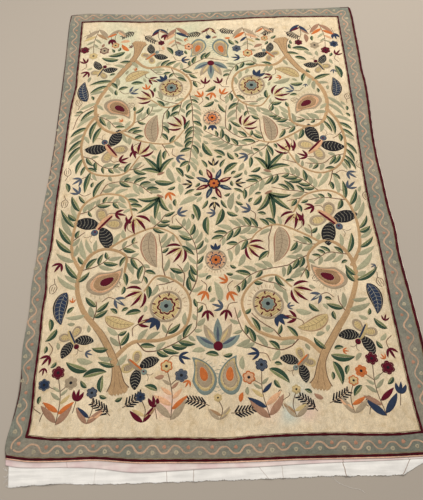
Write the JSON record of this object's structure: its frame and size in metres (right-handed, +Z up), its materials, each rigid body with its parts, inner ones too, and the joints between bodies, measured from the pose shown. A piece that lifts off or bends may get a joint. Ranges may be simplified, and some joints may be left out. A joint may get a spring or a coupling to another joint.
{
  "type": "crewel embroidery panel",
  "caption": "Flat crewel-work panel in wool chain stitch on cotton, with a wavy-line border, softly turned edges and a raw cotton strip along its foot.",
  "frame": {"origin": "middle of the worked panel, on the surface that it lies on", "axes": "+X across the panel, +Y along it towards its head, +Z up out of the stitched face"},
  "size_m": [1.2503, 1.8988, 0.0075],
  "materials": {
    "wool_stitching": "matt wool chain stitch",
    "white_cotton": "matt plain-woven cotton"
  },
  "bodies": {
    "root": {"embroidered_panel": "wool_stitching", "lining_strip": "white_cotton"}
  },
  "joints": []
}
